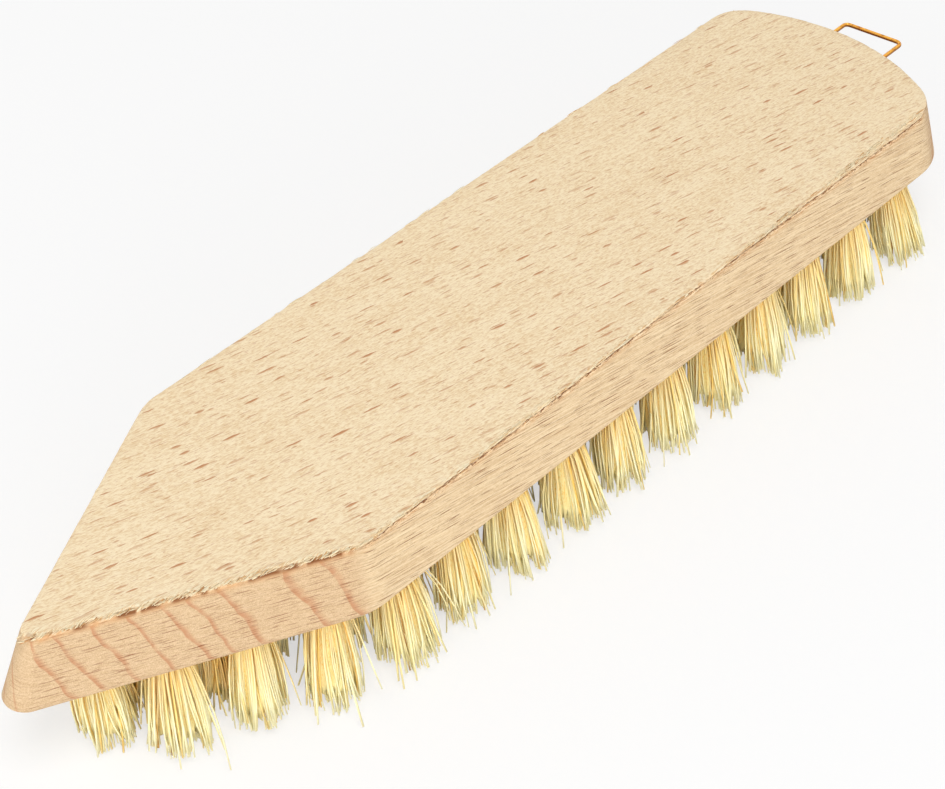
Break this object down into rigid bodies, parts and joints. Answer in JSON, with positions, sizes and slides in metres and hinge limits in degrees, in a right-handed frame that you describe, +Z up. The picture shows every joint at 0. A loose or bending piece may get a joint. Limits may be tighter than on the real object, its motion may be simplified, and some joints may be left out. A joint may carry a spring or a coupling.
{
  "type": "scrub brush",
  "caption": "Hand scrub brush: pointed beech block set with staggered rows of splayed natural fibre tufts, with a copper-coloured wire hanging loop at the bowed end.",
  "frame": {"origin": "under the middle of the overall length, on the plane that the fibre tips stand on", "axes": "+X towards the pointed nose, the hanging loop at -X, +Y to the left, +Z up through the block"},
  "size_m": [0.2466, 0.0652, 0.034],
  "materials": {
    "beech": "raw planed beech",
    "fibre": "undyed plant fibre",
    "anchor_wire": "flat steel wire",
    "loop_wire": "copper-coated wire"
  },
  "bodies": {
    "root": {"beech_block": "beech", "centre_row": "fibre", "inner_row_left": "fibre", "inner_row_right": "fibre", "middle_row_left": "fibre", "middle_row_right": "fibre", "edge_row_left": "fibre", "edge_row_right": "fibre", "tuft_anchors": "anchor_wire", "hanging_loop": "loop_wire"}
  },
  "joints": []
}
